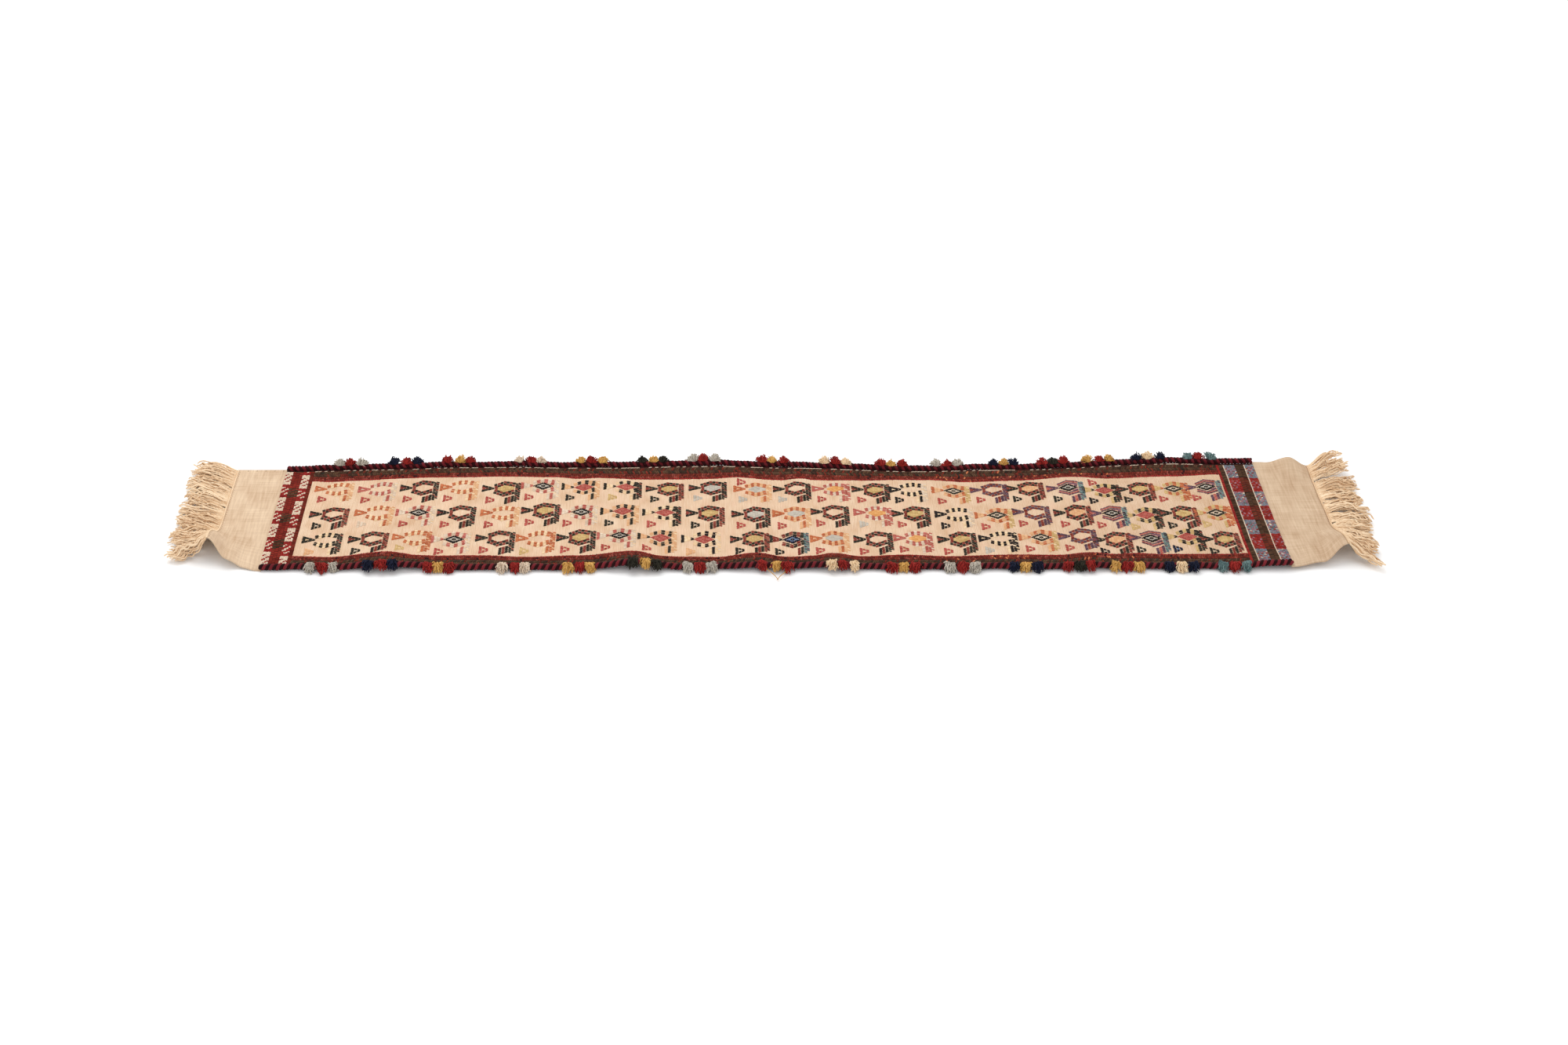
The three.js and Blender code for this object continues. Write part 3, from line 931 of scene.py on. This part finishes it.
def figure_at(place, column, rise):
    """True inside the slanting strokes in the middle of a block."""
    inside = FIGURE_SPAN[0] < place < FIGURE_SPAN[1]
    return inside and (place * BLOCK + rise * column) % STROKE_SPACING < STROKE_WIDTH


def left_checker(offset):
    """Blocks of ivory and red. Both hold slanting strokes of the other."""
    def yarns_at(v, k, column):
        number, place = block_at(v, offset)
        ground, stroke = ("pale", "red") if number % 2 == 0 else ("red", "pale")
        return stroke if figure_at(place, column, LEFT_STROKE_RISE) else ground
    return yarns_at


# Yarns of the right checker bands, each with the upper end of its share, by (odd block, in a stroke)
RIGHT_CHECKER = {
    (False, False): (("slate", 0.62), ("mauve", 0.78), ("pale", 0.84), ("teal", 1)),
    (False, True): (("madder", 0.6), ("mauve", 1)),
    (True, False): (("red", 0.8), ("madder", 1)),
    (True, True): (("mauve", 0.7), ("red", 1)),
}


def right_checker(v, k, column):
    """Flecked blocks of slate and red, with strokes of red and mauve."""
    number, place = block_at(v)
    fleck = random.random()
    shares = RIGHT_CHECKER[number % 2 == 1, bool(figure_at(place, column, RIGHT_STROKE_RISE))]
    return next(yarn for yarn, limit in shares if fleck < limit)


def left_dark(v, k, column):
    """Olive blocks on brick, with specks of red."""
    dark = (BORDER_EDGE - v + DARK_START) % DARK_PITCH < DARK_BLOCK
    if dark and (k + column) % 4:
        return "olive"
    return "brick" if (k + column) % 3 else "red"


def right_dark(v, k, column):
    """Brick blocks on olive, with specks of olive."""
    return "brick" if block_at(v)[0] % 2 == 1 and (k + column) % 3 else "olive"


def plain(yarn):
    """The same yarn all over."""
    return lambda v, k, column: yarn


def add_bands():
    """Four cross bands at each end. A band holds one or more stripes, as (width, yarns, slant, column
    width)."""
    ends = {
        "left": (-1, LEFT_BAND_WIDTHS, [
            ("inner_stripe", "band_stripe", [(6, plain("brick"), 0.25, 6)]),
            ("inner_checker_band", "left_checker", [(12, left_checker(12), 0.5, 3)]),
            ("middle_stripe", "band_stripe", [(16, left_dark, 0.3, 6)]),
            ("outer_checker_band", "left_checker", [(11, left_checker(0), 0.5, 3)]),
        ]),
        "right": (1, RIGHT_BAND_WIDTHS, [
            ("inner_stripe", "band_stripe", [(4, plain("red"), 0.25, 6), (8, plain("olive"), 0.25, 6)]),
            ("inner_checker_band", "right_checker", [
                (1.2, plain("pale"), 0.9, 6), (17.8, right_checker, 0.45, 3.6),
            ]),
            ("middle_stripe", "band_stripe", [(15, right_dark, 0.3, 6)]),
            ("outer_checker_band", "right_checker", [
                (1.2, plain("pale"), 0.9, 6), (14.8, right_checker, 0.45, 3.6),
            ]),
        ]),
    }
    for end, (side, widths, bands) in ends.items():
        start = FIELD_END
        for width, (band, slot, stripes) in zip(widths, bands):
            sewing = Sewing()
            edge = start
            for stripe, yarns_at, slant, column_width in stripes:
                sew_band(sewing, side, edge, stripe, yarns_at, slant, column_width)
                edge += stripe
            sewing.build(f"{end}_{band}", slot, [f"{end}_{band}"])
            start += width


# Cords, tassels and fringe --------------------

CORD_LAY = 10.6  # length in which a ply goes once round its cord
CORD_PLY_OFFSET = 2.3
CORD_PLY_RADIUS = 2.75
CORD_LIFT = 0.8  # of its middle, which then rises and falls by the ripple
CORD_RIPPLE = 0.5
CORD_SWAY, CORD_JITTER = 0.7, 0.5  # sideways, in long and short waves
TUFT_SPACING = 16.5
TUFT_STRANDS = 80
TUFT_ROOT_HEIGHT = 10.0
TUFT_TOP = 17
STRAND_RADIUS = 0.68
STRAND_LENGTHS = (10, 17)
STRAND_CURL = 1.1
LOWEST_STRAND = 1.1
BACK_LEAN = (0.0, 1.25)  # range of the rise of a tuft's strands, in radians
FRONT_LEAN = (-0.3, 1.0)
TUFT_SPLAY = 0.45  # how far the outer tufts of a tassel lean outwards, in radians
FRONT_TUFT_SHARE = 0.84  # of the length of the back ones
# Yarns of each tassel from the left end: of its outer tufts / of the middle one
TASSEL_YARNS = (
    "grey/red navy/red red/yellow pale/red yellow/red green/yellow grey/red red/yellow cream/red "
    "red/yellow grey/red navy/yellow red/green yellow/red navy/cream teal/red"
)
TASSEL_SLOTS = {"pale": "grey"}  # outer yarns whose slot has another yarn's name
FRONT_TASSEL_SLIDE = 7  # how far the front tassels lie towards the left end, at that end
SLIDE_START, SLIDE_REACH = 150, 300  # where the slide starts, and how far to the left it is full


def bezier(start, control, end, steps):
    """Quadratic curves between arrays of points, lines by steps by 3."""
    t = np.linspace(0, 1, steps)[None, :, None]
    start, control, end = (np.asarray(p, float)[:, None] for p in (start, control, end))
    return start * (1 - t) ** 2 + 2 * control * t * (1 - t) + end * t ** 2


def add_cord(end, side):
    """Two-ply twisted cord along a long side."""
    u = np.arange(-LEFT_BAND_END + 1, RIGHT_BAND_END - 1, 0.9)
    for number, yarn in enumerate(("wine", "maroon")):
        turn = side * 2 * np.pi * u / CORD_LAY + np.pi * number
        v = side * CORD_LINE + CORD_PLY_OFFSET * np.cos(turn)
        v = v + CORD_SWAY * np.sin(u / 17) + CORD_JITTER * np.sin(u / 7.3)
        h = CORD_HEIGHT + CORD_PLY_OFFSET * np.sin(turn) + CORD_LIFT + CORD_RIPPLE * np.sin(u / 23)
        line = lay(u, v, h)[None] / MM
        cord = add_tubes(f"{end}_cord_{yarn}_ply", line, CORD_PLY_RADIUS, yarn_material(yarn), sides=12,
                         twist=side * 0.35, ply=0.08, taper=0.6)
        finish_piece(cord, "root", "edge_cord", [f"{end}_edge_cord"])


def tuft_lines(centre, side, splay):
    """Curly strands that bow over the cord and spread into a round brush. Those at the back stand higher."""
    count, steps = TUFT_STRANDS, 11
    turn = random.normal(0, 0.6, count).clip(-1.35, 1.35)
    lean = random.uniform(*(BACK_LEAN if side > 0 else FRONT_LEAN), count)
    size = random.uniform(0.82, 1.1) * (1 if side > 0 else FRONT_TUFT_SHARE)
    length = size * random.uniform(*STRAND_LENGTHS, count) * (1 - 0.22 * np.abs(turn))
    bend = splay + random.normal(0, 0.25)
    centre = centre + random.normal(0, 0.9)
    start = np.stack([
        centre + 2.4 * turn + random.normal(0, 0.6, count),
        side * (CORD_LINE + random.uniform(-3.0, 1.5, count)),
        TUFT_ROOT_HEIGHT + 0.8 * random.random(count),
    ], -1)
    turn = turn + bend
    out = np.stack([np.sin(turn) * np.cos(lean), side * np.cos(turn) * np.cos(lean), np.sin(lean)], -1)
    bow = start + length[:, None] * out * (0.8, 0.6, 0.5) + (0, 0, 1.5)
    end = start + length[:, None] * out * (0.85, 1, 0.6)
    end[:, 1] += side * (3.0 if side > 0 else 1.5)
    end[:, 2] = end[:, 2] - 8.6 + 6 * np.maximum(lean, 0) + random.normal(0, 0.8, count)
    end[:, 2] = end[:, 2].clip(LOWEST_STRAND, TUFT_TOP)
    lines = bezier(start, bow, end, steps)
    t = np.linspace(0, 1, steps)[None, :, None]
    curl = np.sin(2 * np.pi * (random.uniform(1.2, 2.4, (count, 1, 1)) * t + random.random((count, 1, 3))))
    lines += STRAND_CURL * curl * t
    lines[..., 2] = lines[..., 2].clip(LOWEST_STRAND)
    return lay(*np.moveaxis(lines, -1, 0)) / MM


def add_tassels(end, side):
    """Sixteen tassels along a cord, each of two outer tufts in one colour and a middle one in another."""
    for number, (centre, yarns) in enumerate(zip(TASSELS, TASSEL_YARNS.split()), 1):
        outer, middle = yarns.split("/")
        if side < 0:
            centre -= FRONT_TASSEL_SLIDE * np.clip((SLIDE_START - centre) / SLIDE_REACH, 0, 1)
        name = f"{end}_tassel_{number:02d}"
        slot = f"tassel_{TASSEL_SLOTS.get(outer, outer)}"
        tufts = [tuft_lines(centre + s * TUFT_SPACING, side, s * TUFT_SPLAY) for s in (-1, 1, 0)]
        pieces = (("outer_tufts", np.concatenate(tufts[:2]), outer), ("middle_tuft", tufts[2], middle))
        for piece, lines, yarn in pieces:
            radius = STRAND_RADIUS * (0.85 + 0.3 * random.random((len(lines), 1, 1)))
            tuft = add_tubes(f"{name}_{piece}", lines, radius, yarn_material(yarn), sides=6, twist=0.9,
                             ply=0.15, taper=0.75)
            finish_piece(tuft, "root", slot, [name])


# Fringe bundles from the front: (from v, to v, reach, y of the tips, their height, half their width)
FRINGES = {
    "left": [
        (-144.7, -88, 60, -88, 3, 30), (-84, -31, 67, -42, 0, 36), (-27, 27, 67, 12, 0, 37),
        (31, 86, 67, 70, 0, 35), (90, 143.7, 66, 122, 0, 28),
    ],
    "right": [
        (-144.7, -88, 50, -122, 4, 28), (-84, -31, 58, -70, 0, 34), (-27, 27, 64, -8, 0, 35),
        (31, 86, 64, 60, 0, 33), (90, 143.7, 56, 128, 14, 28),
    ],
}
LOCKS = 8  # in one bundle
FRINGE_STRANDS = 72
WARP_RADIUS = 1.05
LOWEST_WARP = 1.4 * WARP_RADIUS  # least height of a strand's middle, so that none dips below the surface
TWINE_LAY = 5.2  # length in which a ply of the heading goes once round
TWINE_PLY_OFFSET = 0.75
TWINE_PLY_RADIUS = 0.85
TWINE_HEIGHT = 1.65


def fringe_lines(side, flap_end, bundle):
    """Twisted warp ends from their places along the heading, gathered into wavy locks."""
    low, high, reach, tip_y, tip_height, tip_half = bundle
    count, steps = FRINGE_STRANDS, 44
    share = (np.arange(count) + 0.5 + random.normal(0, 0.25, count)) / count
    share = share.clip(0.02, 0.98)
    lock = np.minimum((share * LOCKS).astype(int), LOCKS - 1)
    root = lay(side * (flap_end + HEADING - 1), low + (high - low) * share, 1.1) / MM

    def by_lock(least, most, own):
        """A value shared by the strands of a lock, with a little of each strand's own."""
        return random.uniform(least, most, LOCKS)[lock] + random.normal(0, own, count)

    mixed = share + by_lock(-0.13, 0.13, 0.06)
    length = reach * by_lock(0.8, 1.02, 0.08).clip(0.6, 1.08)
    tip = np.stack([
        root[:, 0] + side * length,
        tip_y + (2 * mixed - 1) * tip_half,
        tip_height + by_lock(2, 7, 2.0),
    ], -1)
    t = np.linspace(0, 1, steps)[None, :]
    line = root[:, None] * (1 - t[..., None]) + tip[:, None] * t[..., None]
    line[..., 2] = root[:, None, 2] * (1 - t) ** 2.2 + tip[:, None, 2] * t
    ripples = by_lock(0.8, 1.7, 0.04)[:, None]
    phase = by_lock(0, 2 * np.pi, 0.45)[:, None]
    sway = by_lock(3, 6, 1.0)[:, None] * (np.sin(2 * np.pi * ripples * t + phase) - np.sin(phase)) * t ** 0.7
    curl = by_lock(0.5, 1.5, 0.2)[:, None] * np.sin(2 * np.pi * 2.6 * ripples * t + 2 * phase) * t ** 0.5
    bulk = by_lock(1, 8, 1.8)[:, None] * np.sin(np.pi * t) ** 0.8
    line[..., 1] += sway + curl
    line[..., 0] += 1.1 * curl * side
    line[..., 2] = np.maximum(line[..., 2] + bulk + 0.8 * curl, LOWEST_WARP)
    return line


def add_fringe(end, side, flap_end):
    """The twined heading and five bundles of fringe. All ride on the body of the flap."""
    v = np.arange(-CLOTH_EDGE + 1.5, CLOTH_EDGE - 1.5, 0.8)
    turn = 2 * np.pi * v / TWINE_LAY + np.array([[0], [np.pi]])
    u = side * (flap_end + 1.2) + TWINE_PLY_OFFSET * np.cos(turn)
    twine = lay(u, v, TWINE_HEIGHT + TWINE_PLY_OFFSET * np.sin(turn)) / MM
    heading = add_tubes(f"{end}_twined_heading", twine, TWINE_PLY_RADIUS, warp_material(), sides=8)
    pieces = [finish_piece(heading, f"{end}_flap", "warp_fringe", [f"{end}_fringe_heading"])]
    for number, bundle in enumerate(FRINGES[end], 1):
        lines = fringe_lines(side, flap_end, bundle)
        radius = WARP_RADIUS * random.uniform(0.85, 1.15, (len(lines), 1, 1))
        strands = add_tubes(f"{end}_fringe_strands_{number}", lines, radius, warp_material(), sides=8,
                            twist=0.75, ply=0.2)
        pieces.append(finish_piece(strands, f"{end}_flap", "warp_fringe", [f"{end}_fringe_bundle_{number}"]))
    return pieces


def add_stray_loop():
    """Loose loop of tan thread under the front edge."""
    t = np.linspace(0, 1, 48)
    u = -14 + 36 * t + 6 * np.sin(2 * np.pi * t)
    v = -146 - 27 * np.sin(np.pi * t) ** 0.8
    h = 1.0 + 3.0 * np.cos(np.pi * t) ** 2
    loop = add_tubes("stray_thread_loop", lay(u, v, h)[None] / MM, 0.55, yarn_material("yellow"), sides=8)
    finish_piece(loop, "root", "edge_cord")


add_camera()
add_studio()
add_ground()
add_birds()
add_side_border("back", 1)
add_side_border("front", -1)
add_bands()
add_cord("back", 1)
add_cord("front", -1)
add_tassels("back", 1)
add_tassels("front", -1)
add_stray_loop()
left_pieces = add_fringe("left", -1, LEFT_END) + [add_edge_stitches()]
add_flap("left", -1, LEFT_BAND_END, LEFT_END, left_pieces)
add_flap("right", 1, RIGHT_BAND_END, RIGHT_END, add_fringe("right", 1, RIGHT_END))
